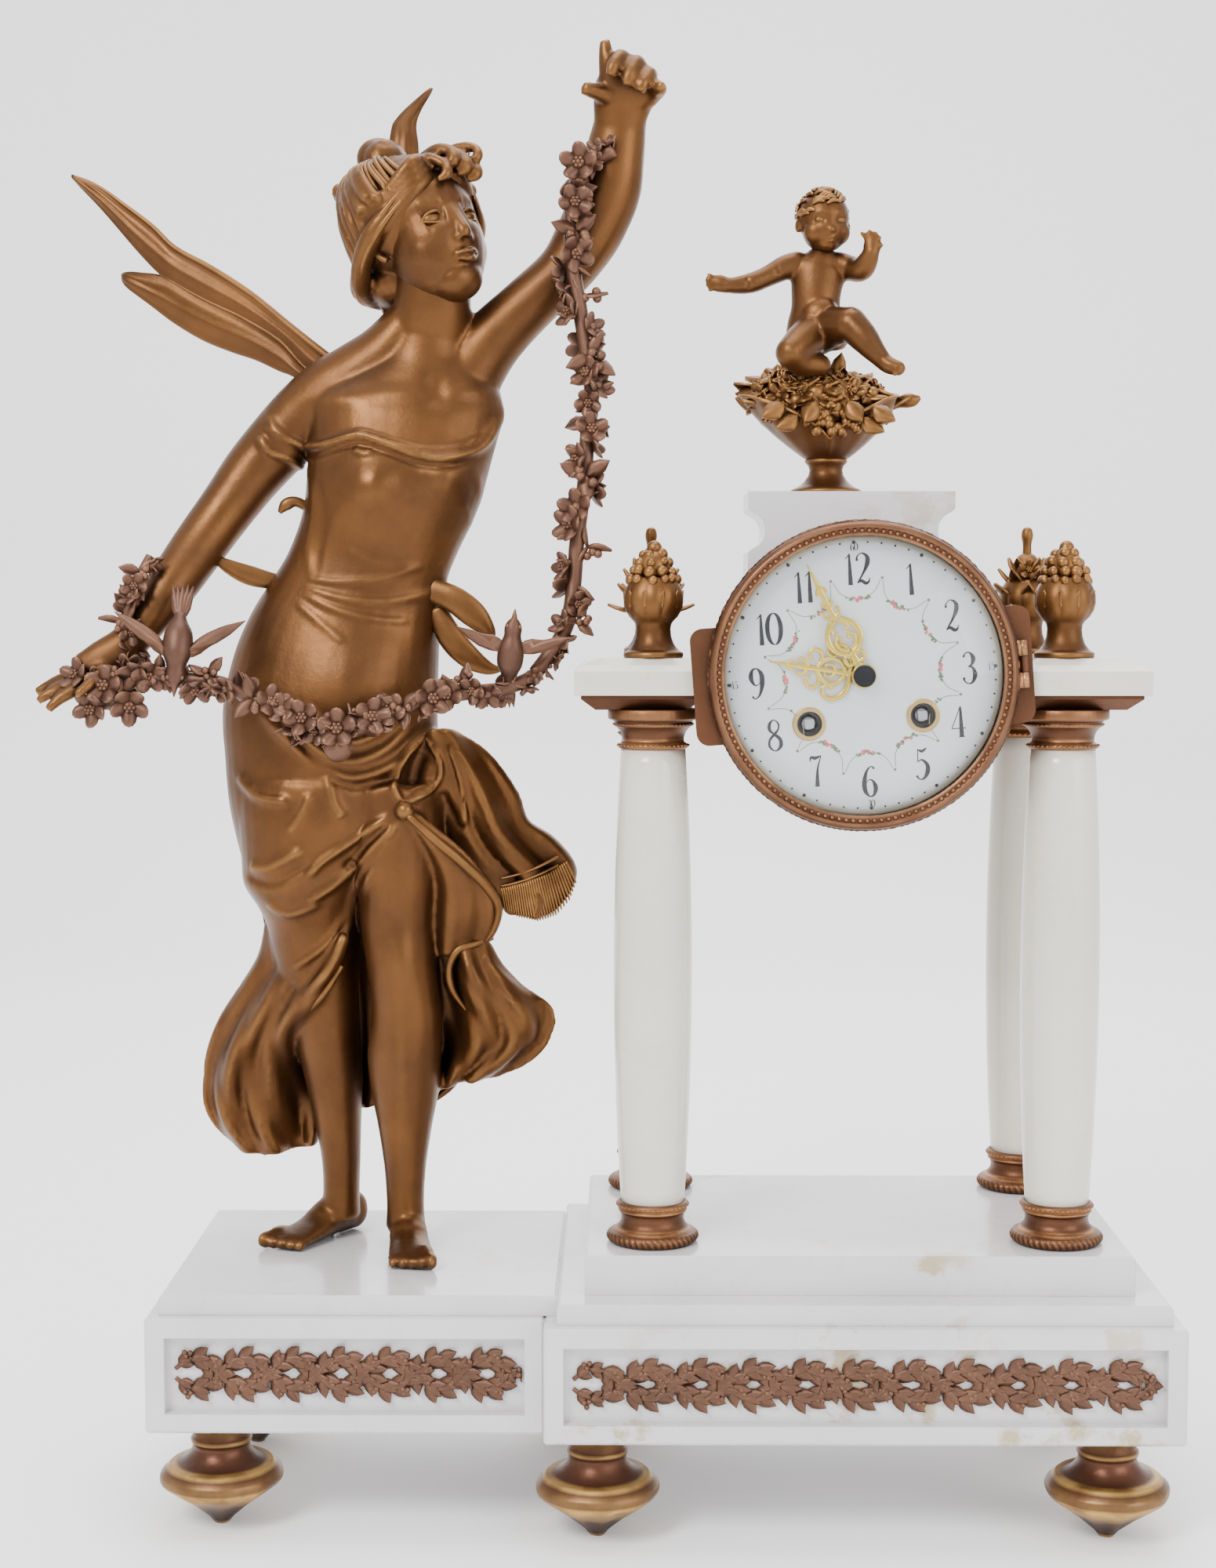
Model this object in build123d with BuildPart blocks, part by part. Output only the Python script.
from build123d import *
from math import atan, cos, degrees, radians, sin, sqrt
import os

os.makedirs("parts", exist_ok=True)

# A figural mantel clock. A marble base in two blocks carries, on the right, a portico of four
# columns with the drum clock hung between its blocks, and on the left a winged maiden in bronze.
# Lengths are millimetres and angles degrees. X runs to the viewer's right, Y to the back, Z up.
# The origin lies at the middle of the whole clock, level with the tips of its feet.

# Overall sizes
half_width = 233.2
half_depth = 87.0
foot_height = 45.3
block_height = 46.5
slab_height = 8.0
plinth_height = 15.8
base_height = 17.0
shaft_height = 185.5
capital_height = 16.1
abacus_height = 5.9
entablature_height = 14.5
figure_height = 512.8

# Levels that follow from them
slab_level = foot_height + block_height
floor_level = slab_level + slab_height
plinth_top = floor_level + plinth_height
base_socket = 1.6
socket_clearance = 0.2
shaft_level = plinth_top + base_height - base_socket
capital_level = shaft_level + shaft_height
abacus_level = capital_level + capital_height
entablature_level = abacus_level + abacus_height
portico_top = entablature_level + entablature_height

# Clearances shared by all pieces
bolt_clearance = 0.3
fit_clearance = 0.05
running_clearance = 0.3
overrun = 1.0

# Plan of the base
seam_x = -18.9
left_block_x = -177.8
left_block_front = -74.5
left_block_back = 74.0
slab_inset = 5.1
slab_edge = 1.2
block_edge = 1.0
panel_margin = 7.9
panel_depth = 5.5

# Plan of the portico
portico_x = 106.5
column_spread = 82.25
column_front_y = -42.2
column_back_y = 51.8
plinth_half_width = 109.5
plinth_front = -67.6
plinth_back = 72.0

# Tie rods and bolts
rod_r = 2.5
nut_r = 5.5
nut_height = 4.0
nut_well = 7.0
stud_r = 3.0
stud_reach = 12.0
bolt_r = 2.0
bolt_reach = 8.0

columns = {
    "front_left": (portico_x - column_spread, column_front_y),
    "front_right": (portico_x + column_spread, column_front_y),
    "rear_left": (portico_x - column_spread, column_back_y),
    "rear_right": (portico_x + column_spread, column_back_y),
}
foot_inset = 26.0
foot_seam_x = 2.0
front_feet = [
    (left_block_x + foot_inset, left_block_front + foot_inset),
    (foot_seam_x, foot_inset - half_depth),
    (half_width - foot_inset, foot_inset - half_depth),
]
rear_feet = [
    (left_block_x + foot_inset, left_block_back - foot_inset),
    (foot_seam_x, half_depth - foot_inset),
    (half_width - foot_inset, half_depth - foot_inset),
]

# The maiden stands here, and shares of her height place everything on her
figure_x = -95.0
figure_y = 10.0
sole_right_share = (0.026, -0.012)
sole_left_share = (-0.036, 0.024)
soles = [
    (figure_x + sole_right_share[0] * figure_height, figure_y + sole_right_share[1] * figure_height),
    (figure_x + sole_left_share[0] * figure_height, figure_y + sole_left_share[1] * figure_height),
]


def keep(piece, name):
    """Label a finished piece and write its file."""
    piece.label = name
    export_step(piece, f"parts/{name}.step")


def upright(x, y, z):
    """Sketch plane through an upright axis: across is X and up is Z."""
    return Plane(origin=(x, y, z), x_dir=(1, 0, 0), z_dir=(0, -1, 0))


def round_bars(places, r, low_z, high_z):
    """Upright round bars, used to cut holes and to make rods."""
    with BuildPart() as bars:
        with BuildSketch(Plane.XY.offset(low_z)):
            with Locations(*places):
                Circle(r)
        extrude(amount=high_z - low_z)
    return bars.part


turning_sides = 20


def rounded(x, y, sections):
    """Upright many-sided turning. Each section is its height and its radius."""
    with BuildPart() as piece:
        for z, r in sections:
            with BuildSketch(Plane(origin=(x, y, z))):
                RegularPolygon(r, turning_sides)
        loft(ruled=True)
    return piece.part


# Holes that the tie rods and the maiden's bolts pass through
rod_holes = round_bars(
    columns.values(), rod_r + bolt_clearance, slab_level - block_height, portico_top + overrun
)
bolt_holes = round_bars(soles, bolt_r + bolt_clearance, foot_height - overrun, floor_level + overrun)
nut_wells = round_bars(
    [*columns.values(), *soles], nut_r + overrun, foot_height - overrun, foot_height + nut_well
)
stud_holes = round_bars(
    [*front_feet, *rear_feet], stud_r + fit_clearance, foot_height - overrun, foot_height + stud_reach
)


# Base blocks
def base_block(low_x, high_x, front_y, back_y):
    """A marble block with a sunk panel in front and its holes for rods, bolts and feet."""
    with BuildPart() as block:
        with BuildSketch(Plane.XY.offset(foot_height)):
            with Locations(((low_x + high_x) / 2, (front_y + back_y) / 2)):
                Rectangle(high_x - low_x, back_y - front_y)
        extrude(amount=block_height)
        chamfer(block.edges(), block_edge)
        with BuildSketch(Plane.XZ.offset(-front_y)):
            with Locations(((low_x + high_x) / 2, foot_height + block_height / 2)):
                Rectangle(high_x - low_x - 2 * panel_margin, block_height - 2 * panel_margin)
        extrude(amount=-panel_depth, mode=Mode.SUBTRACT)
        for cut in (rod_holes, bolt_holes, nut_wells, stud_holes):
            add(cut, mode=Mode.SUBTRACT)
    return block.part


keep(base_block(left_block_x, seam_x, left_block_front, left_block_back), "base_block_left")
keep(base_block(seam_x, half_width, -half_depth, half_depth), "base_block_right")


# Frieze mounts: two wavy laurel sprays that cross again and again, with leaves along them
frieze_thickness = 3.0
frieze_gap = 0.8
frieze_pitch = 41.0
stem_width = 2.2
leaf_length = 13.0
leaf_width = 6.5
leaf_outline_shares = [(0.0, 0.0), (0.4, 0.5), (1.0, 0.0), (0.4, -0.5)]
leaf_lean = 25.0
leaf_turns = (28.0, -28.0)


def leaf(x, y, turn, length, width):
    """Add a pointed leaf to the sketch: its stalk end lies at x, y and its tip points along turn."""
    spots = []
    for along, aside in leaf_outline_shares:
        forward = along * length
        sideways = aside * width
        spots.append(
            (
                x + forward * cos(radians(turn)) - sideways * sin(radians(turn)),
                y + forward * sin(radians(turn)) + sideways * cos(radians(turn)),
            )
        )
    Polygon(*spots, align=None)


def frieze(low_x, high_x, front_y):
    """Both sprays of one panel, cut from one plate."""
    left = low_x + panel_margin + frieze_gap
    right = high_x - panel_margin - frieze_gap
    wave_height = block_height / 2 - panel_margin - frieze_gap - leaf_width
    middle_z = foot_height + block_height / 2
    waves = max(1, round((right - left) / frieze_pitch))
    quarter = (right - left) / waves / 4
    rises = (0, 1, 0, -1)
    with BuildPart() as mount:
        with BuildSketch(Plane.XZ.offset(-front_y - panel_depth)):
            for side in (1, -1):
                route = [
                    (left + step * quarter, middle_z + side * wave_height * rises[step % 4])
                    for step in range(4 * waves + 1)
                ]
                with BuildLine():
                    Polyline(*route)
                trace(line_width=stem_width)
                for step, (x, z) in enumerate(route[:-1]):
                    slope = side * (1 if step % 4 in (0, 3) else -1)
                    for turn in leaf_turns:
                        leaf(x, z, slope * leaf_lean + turn, leaf_length, leaf_width)
            with Locations(((left + right) / 2, middle_z)):
                Rectangle(
                    right - left, block_height - 2 * panel_margin - 2 * frieze_gap, mode=Mode.INTERSECT
                )
        extrude(amount=frieze_thickness)
    return mount.part


keep(frieze(left_block_x, seam_x, left_block_front), "frieze_left")
keep(frieze(seam_x, half_width, -half_depth), "frieze_right")


# Feet: turned tops, with a stud in each
foot_tip_r = 3.0
foot_bowl_r = 25.0
foot_rim_r = 21.5
foot_neck_r = 11.4
foot_low_z = 17.5
foot_high_z = 22.5
foot_rim_z = 25.0
foot_neck_z = 33.5
foot_stud_end = 30.0


def feet(places):
    """Turned feet standing on their tips under the base."""
    with BuildPart() as group:
        for x, y in places:
            sections = [
                (0, foot_tip_r),
                (foot_low_z, foot_bowl_r - foot_tip_r / 2),
                (foot_high_z, foot_bowl_r),
                (foot_rim_z, foot_rim_r),
                (foot_neck_z, foot_neck_r),
                (foot_height, foot_neck_r),
            ]
            add(rounded(x, y, sections))
        add(stud_wells, mode=Mode.SUBTRACT)
    return group.part


stud_wells = round_bars(
    [*front_feet, *rear_feet], stud_r + fit_clearance, foot_stud_end, foot_height + overrun
)
keep(feet(front_feet), "feet_front")
keep(feet(rear_feet), "feet_rear")
keep(
    round_bars([*front_feet, *rear_feet], stud_r, foot_stud_end, foot_height + stud_reach), "foot_studs"
)


# Slabs and portico plinth
def marble_plate(low_x, high_x, front_y, back_y, low_z, height):
    """A plain marble plate with eased top edges and its holes."""
    with BuildPart() as plate:
        with BuildSketch(Plane.XY.offset(low_z)):
            with Locations(((low_x + high_x) / 2, (front_y + back_y) / 2)):
                Rectangle(high_x - low_x, back_y - front_y)
        extrude(amount=height)
        chamfer(plate.edges().group_by(Axis.Z)[-1], slab_edge)
        add(rod_holes, mode=Mode.SUBTRACT)
        add(bolt_holes, mode=Mode.SUBTRACT)
    return plate.part


slab_seam_x = seam_x + slab_inset
keep(
    marble_plate(
        left_block_x + slab_inset,
        slab_seam_x,
        left_block_front + slab_inset,
        left_block_back - slab_inset,
        slab_level,
        slab_height,
    ),
    "slab_left",
)
keep(
    marble_plate(
        slab_seam_x,
        half_width - slab_inset,
        slab_inset - half_depth,
        half_depth - slab_inset,
        slab_level,
        slab_height,
    ),
    "slab_right",
)
keep(
    marble_plate(
        portico_x - plinth_half_width,
        portico_x + plinth_half_width,
        plinth_front,
        plinth_back,
        floor_level,
        plinth_height,
    ),
    "portico_plinth",
)

# Columns
torus_r = 18.6
torus_height = 4.6
scotia_r = 12.6
ring_r = 14.5
ring_height = 3.2
shaft_foot_r = 12.8
shaft_belly_r = 15.8
shaft_top_r = 13.0
shaft_belly_share = 0.46
shaft_steps = 3


def shaft_radius(share):
    """Radius of a shaft at a share of its height, widest at the belly."""
    if share < shaft_belly_share:
        return shaft_belly_r - (shaft_belly_r - shaft_foot_r) * (1 - share / shaft_belly_share) ** 2
    above = (share - shaft_belly_share) / (1 - shaft_belly_share)
    return shaft_belly_r - (shaft_belly_r - shaft_top_r) * above**2


with BuildPart() as column_bases:
    for x, y in columns.values():
        with BuildSketch(upright(x, y, plinth_top)):
            with BuildLine():
                Polyline(
                    (torus_r - torus_height / 4, 0),
                    (torus_r, torus_height / 2),
                    (torus_r - torus_height / 4, torus_height),
                    (scotia_r, base_height / 2),
                    (ring_r, base_height - ring_height),
                    (ring_r, base_height),
                    (shaft_foot_r + socket_clearance, base_height),
                    (shaft_foot_r + socket_clearance, base_height - base_socket),
                    (rod_r + bolt_clearance, base_height - base_socket),
                    (rod_r + bolt_clearance, 0),
                    (torus_r - torus_height / 4, 0),
                )
            make_face()
        revolve(axis=Axis((x, y, 0), (0, 0, 1)))
keep(column_bases.part, "column_bases")

for name, (x, y) in columns.items():
    with BuildPart() as shaft:
        with BuildSketch(upright(x, y, shaft_level)):
            with BuildLine():
                swell = [
                    (shaft_radius(step / shaft_steps), shaft_height * step / shaft_steps)
                    for step in range(shaft_steps + 1)
                ]
                Polyline(
                    *swell,
                    (rod_r + bolt_clearance, shaft_height),
                    (rod_r + bolt_clearance, 0),
                    close=True,
                )
            make_face()
        revolve(axis=Axis((x, y, 0), (0, 0, 1)))
    keep(shaft.part, f"column_shaft_{name}")

astragal_r = 13.9
astragal_height = 2.6
capital_neck_r = 12.3
capital_step_r = 16.2
capital_band_r = 18.2
capital_band_height = 4.2
with BuildPart() as capitals:
    for x, y in columns.values():
        with BuildSketch(upright(x, y, capital_level)):
            with BuildLine():
                Polyline(
                    (rod_r + bolt_clearance, 0),
                    (shaft_top_r + fit_clearance, 0),
                    (astragal_r, astragal_height / 2),
                    (capital_neck_r, astragal_height),
                    (capital_step_r, capital_height - capital_band_height - astragal_height / 2),
                    (capital_band_r, capital_height - capital_band_height),
                    (capital_band_r, capital_height),
                    (rod_r + bolt_clearance, capital_height),
                    close=True,
                )
            make_face()
        revolve(axis=Axis((x, y, 0), (0, 0, 1)))
keep(capitals.part, "capitals")

# Entablature: bronze mouldings under marble blocks with cyma tops
entablature_inner = 60.5
entablature_outer = 113.6
entablature_front = -62.2
entablature_back = 71.8
abacus_inset = 2.6
moulding_inset = 8.2
cyma_height = 5.0
cyma_inset = 9.6
cyma_share = 0.34


def moulded_block(low_x, high_x, sections):
    """Stack of rectangles joined by sloping faces. Each section is its height and its inset."""
    with BuildPart() as block:
        for (z, inset), (next_z, next_inset) in zip(sections, sections[1:]):
            for height, margin in ((z, inset), (next_z, next_inset)):
                with BuildSketch(Plane.XY.offset(height)):
                    with Locations(((low_x + high_x) / 2, (entablature_front + entablature_back) / 2)):
                        Rectangle(
                            high_x - low_x - 2 * margin, entablature_back - entablature_front - 2 * margin
                        )
            loft(ruled=True)
        add(rod_holes, mode=Mode.SUBTRACT)
    return block.part


for side, low_x, high_x in (
    ("left", portico_x - entablature_outer, portico_x - entablature_inner),
    ("right", portico_x + entablature_inner, portico_x + entablature_outer),
):
    abacus = moulded_block(
        low_x,
        high_x,
        [
            (abacus_level, moulding_inset),
            (entablature_level - abacus_height / 4, abacus_inset),
            (entablature_level, abacus_inset),
        ],
    )
    keep(abacus, f"abacus_{side}")
    cornice = moulded_block(
        low_x,
        high_x,
        [
            (entablature_level, 0),
            (portico_top - cyma_height, 0),
            (portico_top - cyma_height / 2, cyma_share * cyma_inset),
            (portico_top, cyma_inset),
        ],
    )
    keep(cornice, f"entablature_{side}")

# Finials on the tie rods: fruit in front, spiky leaves behind
finial_grip = 12.0
finial_ring_r = 11.3
finial_stem_r = 5.9
finial_bowl_r = 12.1
finial_foot_height = 4.0
finial_stem_z = 8.5
finial_bowl_z = 20.0
finial_bowl_share = 0.86
fruit_height = 47.0
fruit_r = 8.6
spike_height = 55.0
spike_r = 12.5
spike_width = 8.0
spike_tip_width = 2.0
fruit_reach = 10.8
fruit_tip_width = 5.6
# Where each round of fruit or leaves grows, and how many are in it
crown_level_shares = [(0.45, 5), (0.66, 4)]


def finial(x, y, fruit):
    """Turned vase with a pile of fruit or a burst of pointed leaves on it."""
    top = fruit_height if fruit else spike_height
    with BuildPart() as piece:
        sections = [
            (0, finial_ring_r),
            (finial_foot_height / 2, finial_ring_r),
            (finial_stem_z, finial_stem_r),
            ((finial_stem_z + finial_bowl_z) / 2, finial_bowl_share * finial_bowl_r),
            (finial_bowl_z, finial_bowl_r),
        ]
        if fruit:
            sections.append(((finial_bowl_z + top) / 2, fruit_r))
        else:
            sections.append((finial_bowl_z + finial_foot_height, finial_stem_r))
        sections.append((top, finial_stem_r / 2))
        add(rounded(x, y, [(portico_top + z, r) for z, r in sections]))
        reach, tip_width = (fruit_reach, fruit_tip_width) if fruit else (spike_r, spike_tip_width)
        for level, count in crown_level_shares:
            for index in range(count):
                turn = 360 / count * (index + level)
                outward = Vector(cos(radians(turn)), sin(radians(turn)), 0)
                root = Vector(x, y, portico_top + level * top)
                lean = outward * reach + Vector(0, 0, (1 - level) * reach / 2)
                with BuildSketch(Plane(origin=root, x_dir=(0, 0, 1), z_dir=lean)):
                    Rectangle(spike_width, spike_width)
                narrowing = atan((spike_width - tip_width) / 2 / lean.length)
                extrude(amount=lean.length, taper=degrees(narrowing))
        add(
            round_bars([(x, y)], rod_r + fit_clearance, portico_top - overrun, portico_top + finial_grip),
            mode=Mode.SUBTRACT,
        )
    return piece.part


for name, (x, y) in columns.items():
    keep(finial(x, y, name.startswith("front")), f"finial_{name}")

# Tie rods with their nuts, and the maiden's two bolts with theirs
nut_seat = foot_height + nut_well
rod_top = portico_top + finial_grip - overrun
bolt_top = floor_level + bolt_reach


def fixings(places, r, top):
    """Upright rods, each with a six-sided nut in its well under the base."""
    with BuildPart() as rods:
        add(round_bars(places, r, nut_seat - nut_height, top))
        with BuildSketch(Plane.XY.offset(nut_seat - nut_height)):
            with Locations(*places):
                RegularPolygon(nut_r, 6)
        extrude(amount=nut_height)
    return rods.part


keep(fixings(columns.values(), rod_r, rod_top), "tie_rods")
keep(fixings(soles, bolt_r, bolt_top), "figure_bolts")

# The clock lies on an axis from front to back, and its dial is turned a little to the left
dial_x = 106.0
dial_z = 346.5
dial_turn = 4.3
dial_origin = (dial_x, 0, dial_z)
dial_right = (cos(radians(dial_turn)), 0, sin(radians(dial_turn)))
dial_up = (-sin(radians(dial_turn)), 0, cos(radians(dial_turn)))
dial_axis = Axis(dial_origin, (0, -1, 0))


def facing(depth):
    """Plane parallel to the dial, depth in front of the clock's middle."""
    return Plane(origin=(dial_x, -depth, dial_z), x_dir=dial_right, z_dir=(0, -1, 0))


def turning():
    """Plane for a profile turned about the dial's axis: across is radius, up is depth."""
    return Plane(origin=dial_origin, x_dir=(1, 0, 0), z_dir=(0, 0, -1))


def ring_about_dial(outline):
    """Turn a closed outline of radius and depth about the dial's axis."""
    with BuildPart() as piece:
        with BuildSketch(turning()):
            with BuildLine():
                Polyline(*outline, close=True)
            make_face()
        revolve(axis=dial_axis)
    return piece.part


def disc(r, depth, thickness, hole_r=0):
    """Flat round plate facing the front, its back at depth."""
    with BuildPart() as plate:
        with BuildSketch(facing(depth)):
            Circle(r)
            if hole_r:
                Circle(hole_r, mode=Mode.SUBTRACT)
        extrude(amount=thickness)
    return plate.part


# Drum case and the ring with ears that holds it to the portico
drum_r = 55.0
drum_wall = 1.2
drum_back = -50.0
block_front_depth = -entablature_front
drum_bore = drum_r - drum_wall
ring_thickness = 3.8
ring_face = block_front_depth + ring_thickness
ring_outer_r = 58.0
dial_r = 54.4
ear_reach = 66.5
ear_height = 46.0
ear_corner = 5.0
back_lip = 3.0
# Bezel hinge, on the right of the ring
hinge_r = 1.6
hinge_pin_r = 0.7
hinge_across = 62.8
hinge_stand = 2.2
hinge_depth = ring_face + hinge_stand
knuckle_length = 6.0
knuckle_gap = 0.4
hinge_point = Vector(*dial_origin) + Vector(*dial_right) * hinge_across + Vector(0, -hinge_depth, 0)


def hinge_plane(point, low):
    """Plane across a hinge's axis, low along the axis from the hinge's middle."""
    return Plane(origin=point + Vector(*dial_up) * low, x_dir=dial_right, z_dir=dial_up)


def knuckle(point, low, length, leaf):
    """Hinge knuckle with a leaf that reaches across and in depth, bored for the pin."""
    across, back = leaf
    with BuildPart() as piece:
        with BuildSketch(hinge_plane(point, low)):
            Circle(hinge_r)
            with Locations((across / 2, back / 2)):
                Rectangle(max(abs(across), 2 * hinge_r), max(abs(back), 2 * hinge_r))
            Circle(hinge_pin_r + fit_clearance, mode=Mode.SUBTRACT)
        extrude(amount=length)
    return piece.part


with BuildPart() as bezel_pin:
    with BuildSketch(hinge_plane(hinge_point, -1.5 * knuckle_length - knuckle_gap)):
        Circle(hinge_pin_r)
    extrude(amount=3 * knuckle_length + 2 * knuckle_gap)

with BuildPart() as drum_ring:
    with BuildSketch(facing(block_front_depth)):
        Circle(ring_outer_r)
        RectangleRounded(2 * ear_reach, ear_height, ear_corner)
        Circle(dial_r + fit_clearance, mode=Mode.SUBTRACT)
    extrude(amount=ring_thickness)
    add(knuckle(hinge_point, -knuckle_length / 2, knuckle_length, (0, hinge_depth - ring_face)))
    add(bezel_pin.part)
keep(drum_ring.part, "drum_ring")

# Enamel dial, domed, with its feet on the front plate
dial_rim = 2.0
dial_dome = 3.0
plate_thickness = 2.0
front_plate_depth = 55.0
dial_back = block_front_depth
dial_foot_r = 1.6
dial_foot_at = 34.0
winding_across = 22.2
winding_drop = 17.2
winding_hole_r = 5.8
winding_places = [(-winding_across, -winding_drop), (winding_across, -winding_drop)]
centre_hole_r = 3.2
dial_steps = 3
dial_shares = [1 - step / dial_steps for step in range(dial_steps + 1)]
with BuildPart() as dial:
    add(
        ring_about_dial(
            [
                (0, dial_back),
                (dial_r, dial_back),
                *[
                    (dial_r * share, dial_back + dial_rim + dial_dome * (1 - share**2))
                    for share in dial_shares
                ],
            ]
        )
    )
    with BuildSketch(facing(dial_back - overrun)):
        Circle(centre_hole_r)
        with Locations(*winding_places):
            Circle(winding_hole_r)
    extrude(amount=dial_rim + dial_dome + 2 * overrun, mode=Mode.SUBTRACT)
    with BuildSketch(facing(front_plate_depth + plate_thickness)):
        with PolarLocations(dial_foot_at, 3, start_angle=90):
            Circle(dial_foot_r)
    extrude(amount=dial_back - front_plate_depth - plate_thickness)
keep(dial.part, "dial")

# Brass grommets round the winding holes
grommet_wall = 0.9
grommet_stand = 0.6
with BuildPart() as winding_grommets:
    with BuildSketch(facing(dial_back)):
        with Locations(*winding_places):
            Circle(winding_hole_r - fit_clearance)
            Circle(winding_hole_r - grommet_wall, mode=Mode.SUBTRACT)
    extrude(amount=dial_rim + dial_dome + grommet_stand)
keep(winding_grommets.part, "winding_grommets")

# Bezel and its glass
bezel_r = 60.85
bezel_gap = 0.4
bezel_height = 7.6
bezel_back = ring_face + bezel_gap
bezel_front = bezel_back + bezel_height
bezel_bead_r = 56.4
glass_r = 56.2
glass_thickness = 1.5
glass_dome = 7.5
dome_steps = 4
lip_r = 54.4
lip_thickness = 2.4
lip_back = bezel_front - lip_thickness
bezel_step = 1.6
with BuildPart() as bezel:
    add(
        ring_about_dial(
            [
                (glass_r + fit_clearance, bezel_back),
                (bezel_r, bezel_back),
                (bezel_r, bezel_back + 2 * bezel_step),
                (bezel_bead_r + bezel_step, bezel_front),
                (lip_r, bezel_front - bezel_step / 2),
                (lip_r, lip_back),
                (glass_r + fit_clearance, lip_back),
            ]
        )
    )
    for low in (knuckle_length / 2 + knuckle_gap, -1.5 * knuckle_length - knuckle_gap):
        add(knuckle(hinge_point, low, knuckle_length, (bezel_r - bezel_step - hinge_across, 0)))
keep(bezel.part, "bezel")


def glass_rise(r, base):
    """Point on the glass's dome at a radius, its rim at the depth of base."""
    return (r, base + glass_dome * (1 - (r / lip_r) ** 2))


dome_radii = [lip_r * (1 - step / dome_steps) for step in range(1, dome_steps + 1)]
bezel_glass = ring_about_dial(
    [
        (lip_r - glass_thickness, lip_back - glass_thickness),
        (glass_r, lip_back - glass_thickness),
        (glass_r, lip_back - fit_clearance),
        (lip_r - fit_clearance, lip_back - fit_clearance),
        *[glass_rise(r, lip_back) for r in dome_radii],
        *[glass_rise(r, lip_back - glass_thickness) for r in reversed(dome_radii)],
    ]
)
keep(bezel_glass, "bezel_glass")

# Back door, a shallow brass pan hinged on the other side
door_gap = 0.4
door_overlap = 0.6
door_r = drum_r + door_overlap
door_depth = 3.0
door_wall = 1.2
door_back = drum_back - door_gap - door_depth
door_hinge_across = -(door_r + hinge_r + running_clearance)
door_hinge_depth = drum_back - door_gap / 2 - hinge_r
door_hinge = (
    Vector(*dial_origin) + Vector(*dial_right) * door_hinge_across + Vector(0, -door_hinge_depth, 0)
)
with BuildPart() as back_door:
    add(
        ring_about_dial(
            [
                (0, door_back),
                (door_r - door_wall, door_back),
                (door_r, door_back + door_wall),
                (door_r, door_back + door_depth),
                (door_r - 2 * door_wall, door_back + door_depth),
                (door_r - 2 * door_wall, door_back + door_wall),
                (0, door_back + door_wall),
            ]
        )
    )
    add(knuckle(door_hinge, knuckle_length / 2 + knuckle_gap, knuckle_length, (2 * hinge_r, 0)))
    add(knuckle(door_hinge, -1.5 * knuckle_length - knuckle_gap, knuckle_length, (2 * hinge_r, 0)))
keep(back_door.part, "back_door")

with BuildPart() as door_pin:
    with BuildSketch(hinge_plane(door_hinge, -1.5 * knuckle_length - knuckle_gap)):
        Circle(hinge_pin_r)
    extrude(amount=3 * knuckle_length + 2 * knuckle_gap)

with BuildPart() as drum_shell:
    add(
        ring_about_dial(
            [
                (drum_bore, drum_back + back_lip),
                (drum_bore - back_lip, drum_back + back_lip),
                (drum_bore - back_lip, drum_back),
                (drum_r, drum_back),
                (drum_r, block_front_depth),
                (drum_bore, block_front_depth),
            ]
        )
    )
    with BuildSketch(hinge_plane(door_hinge, -knuckle_length / 2)):
        with Locations((drum_wall, -door_gap / 2 - 2 * hinge_r)):
            Rectangle(2 * (hinge_r + drum_wall), 2 * hinge_r)
    extrude(amount=knuckle_length)
    add(knuckle(door_hinge, -knuckle_length / 2, knuckle_length, (0, -2 * hinge_r)))
    add(door_pin.part)
keep(drum_shell.part, "drum_shell")

# Movement: two plates held apart by pillars, with the two spring barrels between them
back_plate_depth = 15.0
plate_round_r = 50.0
pillar_r = 2.5
pillar_at = 46.0
pillar_angles = (90, 270, 20, 160)
arbor_r = 2.5
arbor_tail = 1.5
square_width = 3.6
square_length = 8.0
centre_r = 1.9
pipe_wall = 0.65
pipe_bore = centre_r + fit_clearance
pipe_r = pipe_bore + pipe_wall
barrel_r = 19.0
barrel_gap = 1.5
post_r = 1.2
module_fast = 0.5
module_slow = 0.48
cannon_teeth = 12
minute_teeth = 36
pinion_teeth = 10
hour_teeth = 40
wheel_distance = module_fast * (cannon_teeth + minute_teeth) / 2
wheel_thickness = 1.2
motion_depth = front_plate_depth + plate_thickness + running_clearance
dial_inside = dial_back - running_clearance


def pillar_places():
    """Middle of each pillar, in the plates' own plane."""
    return [(pillar_at * cos(radians(a)), pillar_at * sin(radians(a))) for a in pillar_angles]


with BuildPart() as movement_front_plate:
    with BuildSketch(facing(front_plate_depth)):
        Circle(plate_round_r)
        Circle(centre_r + fit_clearance, mode=Mode.SUBTRACT)
        with Locations(*winding_places):
            Circle(arbor_r + fit_clearance, mode=Mode.SUBTRACT)
    extrude(amount=plate_thickness)
    with BuildSketch(facing(front_plate_depth + plate_thickness)):
        with Locations((0, wheel_distance)):
            Circle(post_r)
    extrude(amount=dial_inside - front_plate_depth - plate_thickness)
keep(movement_front_plate.part, "movement_front_plate")

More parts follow.
